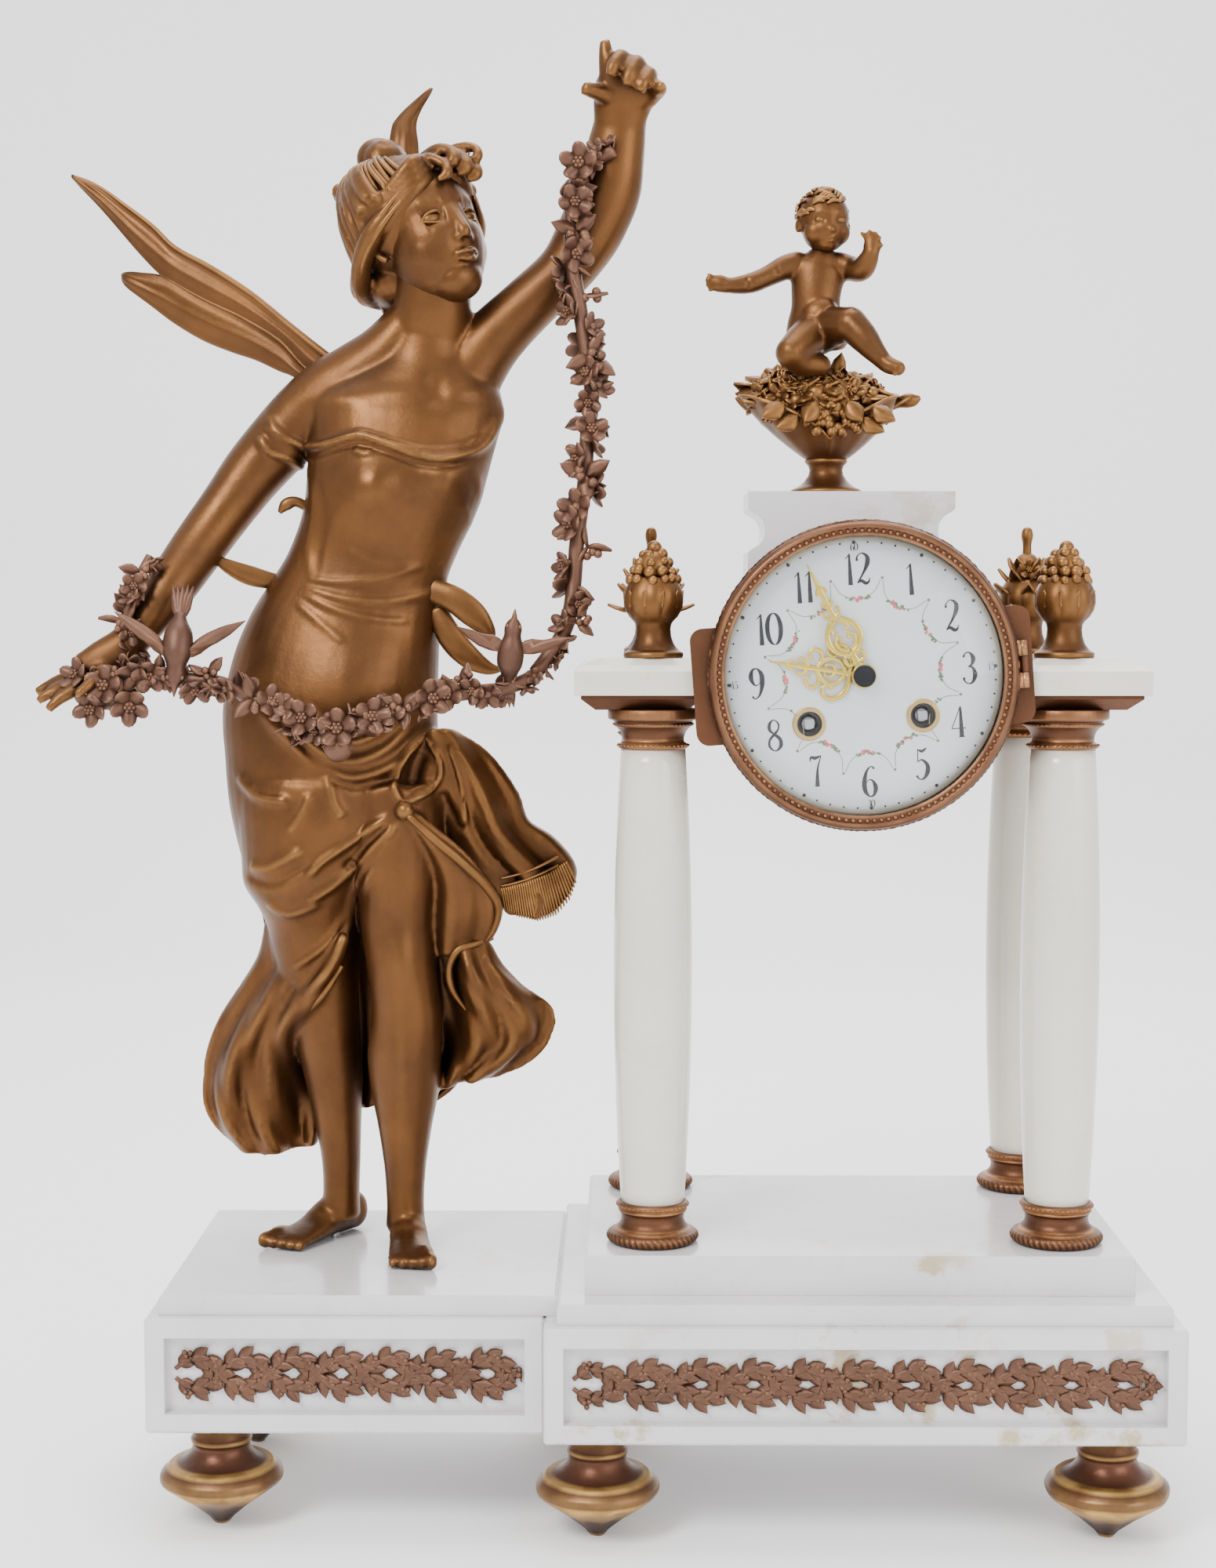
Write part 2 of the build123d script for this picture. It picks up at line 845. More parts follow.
hammer_at = (38.0, 12.0)
hammer_arbor_r = 1.2
with BuildPart() as movement_back_plate:
    with BuildSketch(facing(back_plate_depth)):
        Circle(plate_round_r)
        Circle(centre_r + fit_clearance, mode=Mode.SUBTRACT)
        with Locations(*winding_places):
            Circle(arbor_r + fit_clearance, mode=Mode.SUBTRACT)
        with Locations(hammer_at):
            Circle(hammer_arbor_r + fit_clearance, mode=Mode.SUBTRACT)
    extrude(amount=plate_thickness)
    with BuildSketch(facing(back_plate_depth + plate_thickness)):
        with Locations(*pillar_places()):
            Circle(pillar_r)
    extrude(amount=front_plate_depth - back_plate_depth - plate_thickness)
keep(movement_back_plate.part, "movement_back_plate")

with BuildPart() as spring_barrels:
    with BuildSketch(facing(back_plate_depth + plate_thickness + barrel_gap)):
        with Locations(*winding_places):
            Circle(barrel_r)
            Circle(arbor_r + fit_clearance, mode=Mode.SUBTRACT)
    extrude(amount=front_plate_depth - back_plate_depth - plate_thickness - 2 * barrel_gap)
keep(spring_barrels.part, "spring_barrels")

square_start = dial_back - running_clearance
for name, place in zip(("strike", "going"), winding_places):
    with BuildPart() as arbor:
        with BuildSketch(facing(back_plate_depth - arbor_tail)):
            with Locations(place):
                Circle(arbor_r)
        extrude(amount=square_start - back_plate_depth + arbor_tail)
        with BuildSketch(facing(square_start)):
            with Locations(place):
                Rectangle(square_width, square_width)
        extrude(amount=square_length / 2)
    keep(arbor.part, f"winding_arbor_{name}")

# Two straps from the drum ring back to the lip of the drum
strap_width = 5.0
strap_thickness = 1.2
with BuildPart() as case_straps:
    with BuildSketch(facing(drum_back + back_lip)):
        for side in (1, -1):
            with Locations((0, side * (drum_bore - fit_clearance - strap_thickness))):
                Rectangle(strap_width, strap_thickness)
    extrude(amount=block_front_depth - drum_back - back_lip)
keep(case_straps.part, "case_straps")

# Bell on its stand behind the movement, and the hammer beside it
bell_r = 30.0
bell_wall = 1.5
bell_mouth = 9.0
bell_crown = -9.0
bell_post_r = 2.0
bell_nut_r = 4.0
bell_steps = 4


def bell_curve(r, crown):
    """Outline of the bell from its mouth to its crown."""
    turns = [radians(90 * (1 - step / bell_steps)) for step in range(bell_steps + 1)]
    return [(r * sin(turn), bell_mouth + (crown - bell_mouth) * cos(turn)) for turn in turns]


with BuildPart() as bell:
    inside = bell_curve(bell_r - bell_wall, bell_crown + bell_wall)
    add(ring_about_dial([*bell_curve(bell_r, bell_crown), *reversed(inside)]))
    with BuildSketch(facing(bell_crown - bell_wall)):
        Circle(bell_post_r)
    extrude(amount=back_plate_depth - bell_crown + bell_wall)
    with BuildSketch(facing(bell_crown - 2 * bell_wall)):
        RegularPolygon(bell_nut_r, 6)
    extrude(amount=2 * bell_wall)
    with BuildSketch(facing(back_plate_depth - arbor_tail - running_clearance)):
        Circle(centre_r + running_clearance)
    extrude(amount=arbor_tail + running_clearance, mode=Mode.SUBTRACT)
keep(bell.part, "bell")

hammer_angle = 65.0
hammer_head_r = 3.0
hammer_gap = 0.5
hammer_reach = bell_r + hammer_head_r + hammer_gap
hammer_head = (hammer_reach * cos(radians(hammer_angle)), hammer_reach * sin(radians(hammer_angle)))
hammer_low = 4.0
hammer_head_length = 6.0
with BuildPart() as strike_hammer:
    with BuildSketch(facing(hammer_low)):
        with Locations(hammer_at):
            Circle(hammer_arbor_r)
    extrude(amount=back_plate_depth + plate_thickness - hammer_low)
    with BuildSketch(facing(hammer_low)):
        with BuildLine():
            Line(hammer_at, hammer_head)
        trace(line_width=2 * hammer_arbor_r)
    extrude(amount=2 * hammer_arbor_r)
    with BuildSketch(facing(hammer_low)):
        with Locations(hammer_head):
            Circle(hammer_head_r)
    extrude(amount=hammer_head_length)
keep(strike_hammer.part, "strike_hammer")

# Motion work: the cannon pinion turns the minute wheel, whose pinion turns the hour wheel
# Corners of a tooth: share of the pitch along it, and share of the module above the pitch line
tooth_corner_shares = [(-0.27, -1.1), (-0.09, 0.85), (0.09, 0.85), (0.27, -1.1)]


def gear_outline(teeth, module, turn):
    """Points round a gear whose first tooth points along turn."""
    pitch_r = teeth * module / 2
    spots = []
    for tooth in range(teeth):
        for along, above in tooth_corner_shares:
            r = pitch_r + above * module
            angle = radians(turn + (tooth + along) * 360 / teeth)
            spots.append((r * cos(angle), r * sin(angle)))
    return spots


half_tooth_turn = 180
with BuildPart() as cannon_pinion:
    with BuildSketch(facing(back_plate_depth - arbor_tail)):
        Circle(centre_r)
    extrude(amount=motion_depth - back_plate_depth + arbor_tail)
    with BuildSketch(facing(motion_depth)):
        Polygon(*gear_outline(cannon_teeth, module_fast, 90), align=None)
    extrude(amount=wheel_thickness)

minute_depth = motion_depth
slow_depth = motion_depth + wheel_thickness + running_clearance
with BuildPart() as minute_wheel:
    with BuildSketch(facing(minute_depth)):
        with Locations((0, wheel_distance)):
            Polygon(
                *gear_outline(minute_teeth, module_fast, 270 + half_tooth_turn / minute_teeth), align=None
            )
    extrude(amount=wheel_thickness)
    with BuildSketch(facing(minute_depth + wheel_thickness)):
        with Locations((0, wheel_distance)):
            Polygon(*gear_outline(pinion_teeth, module_slow, 270), align=None)
    extrude(amount=2 * wheel_thickness)
    with BuildSketch(facing(minute_depth)):
        with Locations((0, wheel_distance)):
            Circle(post_r + fit_clearance)
    extrude(amount=3 * wheel_thickness, mode=Mode.SUBTRACT)
keep(minute_wheel.part, "minute_wheel")

# Hands: hub, pierced scrolls and a long point, laid out as shares of their length
dial_face = dial_back + dial_rim + dial_dome
hand_thickness = 0.8
hand_gap = 1.0
hour_hand_depth = dial_face + hand_gap
minute_hand_depth = hour_hand_depth + 2 * hand_thickness
nut_stand = 2.3
nut_round_r = 4.3
collet_r = 5.1
minute_length = 49.3
hour_length = 38.0
minute_angle = 23.2
hour_angle = 77.1
scroll_width = 1.1
scroll_sides = 10
hand_point_share = 0.75
hand_slot_share = 0.7
minute_scroll_shares = [(0.19, 0.0, 0.085), (0.29, -0.05, 0.1), (0.29, 0.05, 0.1), (0.43, 0.0, 0.05)]
hour_scroll_shares = [(0.26, 0.0, 0.1), (0.36, -0.15, 0.1), (0.36, 0.15, 0.1), (0.55, 0.0, 0.07)]

with BuildPart() as hour_wheel:
    with BuildSketch(facing(slow_depth)):
        Polygon(*gear_outline(hour_teeth, module_slow, 90 + half_tooth_turn / hour_teeth), align=None)
    extrude(amount=wheel_thickness)
    with BuildSketch(facing(slow_depth)):
        Circle(pipe_r)
    extrude(amount=hour_hand_depth + hand_thickness - slow_depth)
    with BuildSketch(facing(slow_depth)):
        Circle(pipe_bore)
    extrude(amount=hour_hand_depth + hand_thickness - slow_depth, mode=Mode.SUBTRACT)
keep(hour_wheel.part, "hour_wheel")

with BuildPart() as centre_arbor:
    add(cannon_pinion.part)
    with BuildSketch(facing(motion_depth)):
        Circle(centre_r)
    extrude(amount=minute_hand_depth + hand_thickness - motion_depth)
    with BuildSketch(facing(minute_hand_depth + hand_thickness)):
        Circle(nut_round_r)
    extrude(amount=nut_stand)
keep(centre_arbor.part, "cannon_pinion")


def hand(depth, angle, length, hub_r, bore_r, scroll_shares):
    """A pierced hand pointing angle degrees to the left of the dial's top."""
    with BuildPart() as piece:
        across = Vector(*dial_right) * cos(radians(angle)) + Vector(*dial_up) * sin(radians(angle))
        with BuildSketch(Plane(origin=(dial_x, -depth, dial_z), x_dir=across, z_dir=(0, -1, 0))):
            Circle(hub_r)
            Polygon(
                (-scroll_width, hub_r / 2),
                (scroll_width, hub_r / 2),
                (scroll_width, hand_point_share * length),
                (0, length),
                (-scroll_width, hand_point_share * length),
                align=None,
            )
            for along, aside, r in scroll_shares:
                with Locations((aside * length, along * length)):
                    RegularPolygon(r * length, scroll_sides)
            for along, aside, r in scroll_shares:
                with Locations((aside * length, along * length)):
                    RegularPolygon(r * length - scroll_width, scroll_sides, mode=Mode.SUBTRACT)
            with Locations((0, length / 2)):
                Rectangle(scroll_width / 2, hand_slot_share * length)
            Circle(hub_r)
            Circle(bore_r, mode=Mode.SUBTRACT)
        extrude(amount=hand_thickness)
    return piece.part


keep(
    hand(hour_hand_depth, hour_angle, hour_length, collet_r, pipe_r + fit_clearance, hour_scroll_shares),
    "hour_hand",
)
minute_bore_r = centre_r + fit_clearance
keep(
    hand(minute_hand_depth, minute_angle, minute_length, collet_r, minute_bore_r, minute_scroll_shares),
    "minute_hand",
)

# Top block on the drum, with hollowed sides
top_height = 74.2
top_half_width = 42.5
top_front = -13.0
top_back = 29.0
top_lip = 7.0
top_hollow = 15.0
top_toe = 1.5
top_level = dial_z + top_height
top_foot = dial_z + sqrt(drum_r**2 - top_half_width**2)
with BuildPart() as top_block:
    with BuildSketch(Plane.XZ.offset(-top_back)):
        with BuildLine():
            lip = Polyline(
                (dial_x, top_level),
                (dial_x + top_half_width, top_level),
                (dial_x + top_half_width, top_level - top_lip),
                (dial_x + top_half_width - top_toe, top_level - top_lip - top_toe),
            )
            hollow = ThreePointArc(
                lip @ 1,
                (dial_x + top_half_width - top_lip, top_level - top_lip - top_toe - top_hollow / 2),
                (dial_x + top_half_width - top_toe, top_level - top_lip - top_toe - top_hollow),
            )
            Polyline(
                hollow @ 1,
                (dial_x + top_half_width, top_level - top_lip - 2 * top_toe - top_hollow),
                (dial_x + top_half_width, top_foot),
                (dial_x, top_foot),
                (dial_x, top_level),
            )
        make_face()
        mirror(about=Plane.YZ.offset(dial_x))
    extrude(amount=top_back - top_front)
    add(disc(drum_r + fit_clearance, drum_back, block_front_depth - drum_back), mode=Mode.SUBTRACT)
keep(top_block.part, "top_block")

# Basket on its stem: lofted through ovals, its rim dipping in front, filled with flowers and fruit
urn_x = 100.0
urn_y = 8.0
urn_height = 40.0
urn_rim_r = 39.6
urn_handle_reach = 14.5
urn_handle_width = 9.0
urn_handle_thickness = 2.4
urn_wall_share = 0.07
urn_dip = 12.0
urn_dip_half = 31.0
urn_oval_shares = [
    (0.0, 0.38, 0.34),
    (0.06, 0.36, 0.32),
    (0.2, 0.2, 0.2),
    (0.34, 0.2, 0.2),
    (0.5, 0.4, 0.34),
    (0.72, 0.72, 0.56),
    (1.0, 1.0, 0.74),
]
urn_inner_shares = [
    (up, wide - urn_wall_share, deep - urn_wall_share) for up, wide, deep in urn_oval_shares[-3:]
]
oval_sides = 14
heap_shares = [(0.5, 0.3, 0.25), (0.74, 0.63, 0.46), (0.94, 0.8, 0.58), (1.1, 0.66, 0.5), (1.24, 0.38, 0.3)]


def oval_points(half_across, half_back, sides):
    """Corners of a many-sided oval about the sketch's origin."""
    turns = [radians(360 * corner / sides) for corner in range(sides)]
    return [(half_across * cos(turn), half_back * sin(turn)) for turn in turns]


def oval_loft(x, y, z, tall, wide, shares):
    """Upright loft through level ovals, given as shares of the height and of the half width."""
    with BuildPart() as piece:
        for up, across, back in shares:
            with BuildSketch(Plane(origin=(x, y, z + up * tall))):
                Polygon(*oval_points(across * wide, back * wide, oval_sides), align=None)
        loft(ruled=True)
    return piece.part


urn_cup = oval_loft(urn_x, urn_y, top_level, urn_height, urn_rim_r, urn_inner_shares)
dip_r = (urn_dip_half**2 + urn_dip**2) / (2 * urn_dip)
with BuildPart() as dip_cut:
    with BuildSketch(Plane.XZ.offset(-urn_y - urn_rim_r)):
        with Locations((urn_x, top_level + urn_height - urn_dip + dip_r)):
            Circle(dip_r)
    extrude(amount=2 * urn_rim_r)
with BuildPart() as urn:
    add(oval_loft(urn_x, urn_y, top_level, urn_height, urn_rim_r, urn_oval_shares))
    add(urn_cup, mode=Mode.SUBTRACT)
    add(dip_cut.part, mode=Mode.SUBTRACT)
    with BuildSketch(Plane.XY.offset(top_level + urn_height - urn_handle_thickness)):
        with Locations((urn_x + urn_rim_r + urn_handle_reach / 2, urn_y)):
            Ellipse(urn_handle_reach / 2 + urn_handle_thickness, urn_handle_width / 2)
    extrude(amount=urn_handle_thickness)
keep(urn.part, "urn")
with BuildPart() as urn_fruit:
    add(oval_loft(urn_x, urn_y, top_level, urn_height, urn_rim_r, heap_shares))
    add(urn.part, mode=Mode.SUBTRACT)
urn_fruit_pile = max(urn_fruit.part.solids(), key=lambda s: s.volume)
keep(urn_fruit_pile, "urn_fruit")

# The maiden. Each limb is a loft through ovals: every station gives its middle (across, back, up)
# and its two half widths, all as shares of her height.
maiden = (Vector(figure_x, figure_y, floor_level), figure_height)
limb_sides = 10
finger_sides = 6


def on_figure(across, back, up, figure=maiden):
    """Place on a figure from shares of its height."""
    return figure[0] + Vector(across, back, up) * figure[1]


def limb(stations, level=False, figure=maiden):
    """Loft through ovals square to the way the stations run, or level ones."""
    middles = [on_figure(*station[:3], figure) for station in stations]
    with BuildPart() as piece:
        for index, station in enumerate(stations):
            ahead = middles[min(index + 1, len(middles) - 1)] - middles[max(index - 1, 0)]
            way = Vector(0, 0, 1) if level else ahead
            across = Vector(1, 0, 0) if level else Vector(0, 1, 0)
            with BuildSketch(Plane(origin=middles[index], x_dir=across, z_dir=way)):
                half_wide = station[3] * figure[1]
                half_deep = station[4] * figure[1]
                if level:
                    Polygon(*oval_points(half_wide, half_deep, limb_sides), align=None)
                else:
                    Polygon(*oval_points(half_deep, half_wide, limb_sides), align=None)
        loft(ruled=True)
    return piece.part


def finger(root, tip, root_share, tip_share_of_height):
    """Tapered finger between two places on the maiden."""
    start = on_figure(*root)
    end = on_figure(*tip)
    with BuildPart() as piece:
        for place, share in ((start, root_share), (end, tip_share_of_height)):
            with BuildSketch(Plane(origin=place, x_dir=(0, 1, 0), z_dir=end - start)):
                RegularPolygon(share * figure_height, finger_sides)
        loft(ruled=True)
    return piece.part


torso_shares = [
    (-0.016, 0.008, 0.201, 0.070, 0.051),
    (-0.026, 0.008, 0.293, 0.082, 0.059),
    (-0.032, 0.010, 0.390, 0.087, 0.060),
    (-0.028, 0.012, 0.488, 0.084, 0.055),
    (-0.008, 0.014, 0.556, 0.070, 0.044),
    (0.014, 0.012, 0.609, 0.070, 0.045),
    (0.025, 0.010, 0.663, 0.076, 0.051),
    (0.029, 0.016, 0.704, 0.070, 0.039),
    (0.037, 0.018, 0.732, 0.041, 0.031),
    (0.047, 0.018, 0.757, 0.032, 0.029),
    (0.051, 0.016, 0.784, 0.031, 0.029),
]
head_shares = [
    (0.066, 0.006, 0.769, 0.018, 0.018),
    (0.068, 0.002, 0.784, 0.039, 0.037),
    (0.055, 0.006, 0.814, 0.057, 0.053),
    (0.043, 0.014, 0.843, 0.066, 0.060),
    (0.033, 0.018, 0.870, 0.062, 0.057),
    (0.025, 0.020, 0.894, 0.043, 0.039),
    (0.021, 0.021, 0.906, 0.018, 0.016),
]
hair_bun_shares = [
    (0.010, 0.025, 0.885, 0.021, 0.020),
    (0.006, 0.027, 0.909, 0.017, 0.017),
    (0.006, 0.027, 0.923, 0.008, 0.008),
]
forelock_shares = [
    (0.064, -0.002, 0.868, 0.021, 0.018),
    (0.096, -0.010, 0.868, 0.018, 0.016),
    (0.117, -0.014, 0.855, 0.010, 0.010),
]
hair_tie_shares = [
    (0.004, 0.023, 0.868, 0.021, 0.016),
    (-0.025, 0.027, 0.878, 0.016, 0.012),
    (-0.035, 0.027, 0.866, 0.010, 0.008),
]
raised_arm_shares = [
    (0.068, 0.020, 0.712, 0.033, 0.027),
    (0.098, 0.023, 0.751, 0.027, 0.025),
    (0.131, 0.025, 0.782, 0.024, 0.023),
    (0.160, 0.027, 0.810, 0.024, 0.023),
    (0.177, 0.027, 0.835, 0.027, 0.024),
    (0.187, 0.027, 0.855, 0.028, 0.024),
    (0.197, 0.025, 0.878, 0.028, 0.023),
    (0.203, 0.023, 0.909, 0.024, 0.021),
    (0.206, 0.021, 0.940, 0.022, 0.018),
    (0.211, 0.018, 0.960, 0.024, 0.014),
    (0.215, 0.016, 0.975, 0.020, 0.012),
]
lowered_arm_shares = [
    (-0.025, 0.023, 0.702, 0.029, 0.027),
    (-0.060, 0.025, 0.687, 0.029, 0.027),
    (-0.092, 0.023, 0.652, 0.026, 0.025),
    (-0.119, 0.014, 0.615, 0.023, 0.023),
    (-0.142, 0.000, 0.580, 0.022, 0.021),
    (-0.164, -0.020, 0.544, 0.020, 0.020),
    (-0.187, -0.035, 0.509, 0.016, 0.014),
    (-0.211, -0.043, 0.489, 0.019, 0.011),
    (-0.228, -0.045, 0.480, 0.016, 0.009),
]
right_leg_shares = [
    (0.018, -0.004, 0.316, 0.041, 0.041),
    (0.025, -0.012, 0.244, 0.037, 0.037),
    (0.026, -0.012, 0.205, 0.033, 0.033),
    (0.026, -0.008, 0.156, 0.031, 0.031),
    (0.026, -0.006, 0.117, 0.029, 0.029),
    (0.026, -0.006, 0.074, 0.020, 0.021),
    (0.026, -0.010, 0.034, 0.017, 0.020),
]
right_foot_shares = [
    (0.025, 0.016, 0.014, 0.012, 0.014),
    (0.026, -0.004, 0.018, 0.019, 0.021),
    (0.031, -0.036, 0.012, 0.019, 0.016),
    (0.037, -0.062, 0.007, 0.020, 0.010),
    (0.042, -0.082, 0.005, 0.014, 0.007),
]
left_leg_shares = [
    (-0.043, 0.014, 0.266, 0.037, 0.037),
    (-0.047, 0.016, 0.195, 0.031, 0.031),
    (-0.045, 0.021, 0.156, 0.028, 0.028),
    (-0.042, 0.027, 0.113, 0.027, 0.027),
    (-0.038, 0.029, 0.074, 0.020, 0.020),
    (-0.036, 0.026, 0.034, 0.017, 0.019),
]
left_foot_shares = [
    (-0.024, 0.050, 0.014, 0.012, 0.014),
    (-0.034, 0.030, 0.018, 0.019, 0.021),
    (-0.051, 0.010, 0.012, 0.018, 0.016),
    (-0.064, -0.006, 0.007, 0.019, 0.010),
    (-0.072, -0.020, 0.005, 0.014, 0.007),
]
index_finger_shares = ((0.205, 0.014, 0.955), (0.193, 0.016, 1.0))
thumb_shares = ((0.212, 0.010, 0.946), (0.174, 0.004, 0.957))
curled_shares = (
    ((0.214, 0.016, 0.966), (0.213, -0.004, 0.978)),
    ((0.224, 0.016, 0.964), (0.224, -0.004, 0.975)),
    ((0.230, 0.014, 0.958), (0.236, -0.004, 0.968)),
    ((0.228, 0.012, 0.950), (0.246, 0.000, 0.958)),
)
finger_share = 0.010
finger_tip_share = 0.005
lowered_reach = (-half_width - figure_x) / figure_height
lowered_finger_shares = (
    ((-0.222, -0.045, 0.484), (lowered_reach, -0.045, 0.462)),
    ((-0.222, -0.050, 0.480), (-0.252, -0.060, 0.464)),
    ((-0.220, -0.055, 0.476), (-0.240, -0.068, 0.458)),
)

with BuildPart() as maiden_body:
    add(limb(torso_shares, level=True))
with BuildPart() as maiden_legs:
    for leg, foot in ((right_leg_shares, right_foot_shares), (left_leg_shares, left_foot_shares)):
        add(limb(leg, level=True))
        add(limb(foot))
    add(maiden_body.part, mode=Mode.SUBTRACT)
    split(bisect_by=Plane.XY.offset(floor_level), keep=Keep.TOP)
    add(round_bars(soles, bolt_r + fit_clearance, floor_level, bolt_top), mode=Mode.SUBTRACT)
with BuildPart() as maiden_head:
    for stations in (head_shares, hair_bun_shares, forelock_shares, hair_tie_shares):
        add(limb(stations, level=stations is head_shares))
    add(maiden_body.part, mode=Mode.SUBTRACT)
with BuildPart() as arm_raised:
    add(limb(raised_arm_shares))
    add(finger(*index_finger_shares, finger_share, finger_tip_share))
    add(finger(*thumb_shares, finger_share, finger_tip_share))
    for root, tip in curled_shares:
        add(finger(root, tip, finger_share, finger_tip_share))
    add(maiden_body.part, mode=Mode.SUBTRACT)
    add(maiden_head.part, mode=Mode.SUBTRACT)
with BuildPart() as arm_lowered:
    add(limb(lowered_arm_shares))
    for root, tip in lowered_finger_shares:
        add(finger(root, tip, finger_share, finger_tip_share))
    add(maiden_body.part, mode=Mode.SUBTRACT)
keep(maiden_body.part, "maiden_body")
keep(maiden_legs.part, "maiden_legs")
keep(maiden_head.part, "maiden_head")
keep(arm_raised.part, "arm_raised")
keep(arm_lowered.part, "arm_lowered")

# Wings: thin two-lobed blades from her shoulder blades, given by their outline in the wing's plane
wing_thickness_share = 0.008
wing_root_shares = (-0.02, 0.042, 0.70)
wing_outline_shares = [
    (-0.005, 0.015),
    (0.040, 0.015),
    (0.089, 0.016),
    (0.134, 0.012),
    (0.172, 0.008),
    (0.232, 0.009),
    (0.265, 0.007),
    (0.290, 0.0),
    (0.247, -0.007),
    (0.197, -0.015),
    (0.166, -0.019),
    (0.192, -0.032),
    (0.195, -0.039),
    (0.182, -0.044),
    (0.127, -0.043),
    (0.068, -0.031),
    (0.006, -0.015),
]
wing_ways = (((-0.80, 0.14, 0.58), 1), ((0.12, 0.22, 0.97), -1))
with BuildPart() as wings:
    for way, hand_side in wing_ways:
        along = Vector(*way).normalized()
        across = Vector(0, 1, 0).cross(along).normalized() * hand_side
        with BuildSketch(Plane(origin=on_figure(*wing_root_shares), x_dir=along, z_dir=along.cross(across))):
            Polygon(*[(u * figure_height, v * figure_height) for u, v in wing_outline_shares], align=None)
        extrude(amount=wing_thickness_share * figure_height / 2, both=True)
    add(maiden_body.part, mode=Mode.SUBTRACT)
    add(maiden_head.part, mode=Mode.SUBTRACT)
    add(arm_lowered.part, mode=Mode.SUBTRACT)
keep(wings.part, "wings")

# Drapery: each cloth is a zigzag band that runs through stations. A station gives the two ends of
# the band and the depth of its folds.
cloth_share = 0.006
cloth_folds = 5


def cloth(stations):
    """Folded cloth joined from one zigzag band to the next."""
    thickness = cloth_share * figure_height
    with BuildPart() as piece:
        for start_share, end_share, depth_share in stations:
            start = on_figure(*start_share)
            end = on_figure(*end_share)
            run = Vector(end.X - start.X, 0, end.Z - start.Z)
            near = []
            far = []
            for fold in range(cloth_folds + 1):
                along = run.length * fold / cloth_folds
                back = (end.Y - start.Y) * fold / cloth_folds + fold % 2 * depth_share * figure_height
                near.append((along, back))
                far.append((along, back + thickness))
            with BuildSketch(Plane(origin=start, x_dir=run, z_dir=run.cross(Vector(0, 1, 0)))):
                Polygon(*near, *reversed(far), align=None)
        loft(ruled=True)
    return piece.part


blown_cloth_shares = [
    ((0.057, 0.008, 0.414), (0.060, 0.008, 0.316), 0.008),
    ((0.092, 0.014, 0.396), (0.096, 0.014, 0.305), 0.010),
    ((0.121, 0.018, 0.357), (0.117, 0.018, 0.281), 0.012),
    ((0.150, 0.020, 0.338), (0.133, 0.020, 0.270), 0.012),
    ((0.172, 0.020, 0.316), (0.170, 0.020, 0.285), 0.010),
]
right_cloth_shares = [
    ((0.057, -0.004, 0.266), (0.057, -0.004, 0.180), 0.006),
    ((0.084, 0.002, 0.238), (0.078, 0.002, 0.149), 0.010),
    ((0.115, 0.008, 0.207), (0.103, 0.008, 0.129), 0.012),
    ((0.138, 0.012, 0.188), (0.127, 0.012, 0.141), 0.012),
    ((0.152, 0.014, 0.176), (0.146, 0.014, 0.158), 0.006),
]
left_cloth_shares = [
    ((-0.090, 0.023, 0.242), (-0.033, 0.008, 0.246), 0.008),
    ((-0.107, 0.029, 0.207), (-0.033, 0.016, 0.207), 0.010),
    ((-0.135, 0.035, 0.156), (-0.041, 0.023, 0.160), 0.014),
    ((-0.146, 0.039, 0.117), (-0.047, 0.029, 0.121), 0.014),
    ((-0.138, 0.039, 0.090), (-0.051, 0.033, 0.094), 0.012),
    ((-0.111, 0.039, 0.067), (-0.055, 0.035, 0.071), 0.010),
]
back_cloth_shares = [
    ((-0.099, 0.039, 0.227), (0.064, 0.039, 0.227), 0.010),
    ((-0.107, 0.047, 0.176), (0.080, 0.043, 0.176), 0.014),
    ((-0.107, 0.051, 0.127), (0.088, 0.045, 0.127), 0.016),
    ((-0.099, 0.051, 0.090), (0.072, 0.045, 0.094), 0.014),
]
with BuildPart() as drapery:
    for stations in (blown_cloth_shares, right_cloth_shares, left_cloth_shares, back_cloth_shares):
        add(cloth(stations))
    add(maiden_body.part, mode=Mode.SUBTRACT)
    add(maiden_legs.part, mode=Mode.SUBTRACT)
keep(drapery.part, "drapery")

# Garland: a stem with flowers along it, hanging from her raised arm and lying across her hips
vine_share = 0.0088
vine_sides = 6
petal_count = 5
flower_share = 0.015
big_flower_share = 0.022
flower_dent_share = 0.5
flower_depth_share = 0.016


def vine(route):
    """Six-sided stem that follows a route."""
    spots = [on_figure(*place) for place in route]
    with BuildPart() as piece:
        for index, spot in enumerate(spots):
            ahead = spots[min(index + 1, len(spots) - 1)] - spots[max(index - 1, 0)]
            with BuildSketch(Plane(origin=spot, x_dir=(0, 1, 0), z_dir=ahead)):
                RegularPolygon(vine_share * figure_height, vine_sides)
        loft(ruled=True)
    return piece.part


def flower(across, back, up, share):
    """Open flower facing the front."""
    r = share * figure_height
    half_depth_of_flower = flower_depth_share * figure_height / 2
    spots = []
    for point in range(2 * petal_count):
        reach = r * flower_dent_share if point % 2 else r
        turn = radians(180 * point / petal_count)
        spots.append((reach * sin(turn), reach * cos(turn)))
    with BuildPart() as piece:
        with BuildSketch(Plane(origin=on_figure(across, back, up), x_dir=(1, 0, 0), z_dir=(0, -1, 0))):
            Polygon(*spots, align=None)
        extrude(amount=half_depth_of_flower, both=True)
    return piece.part


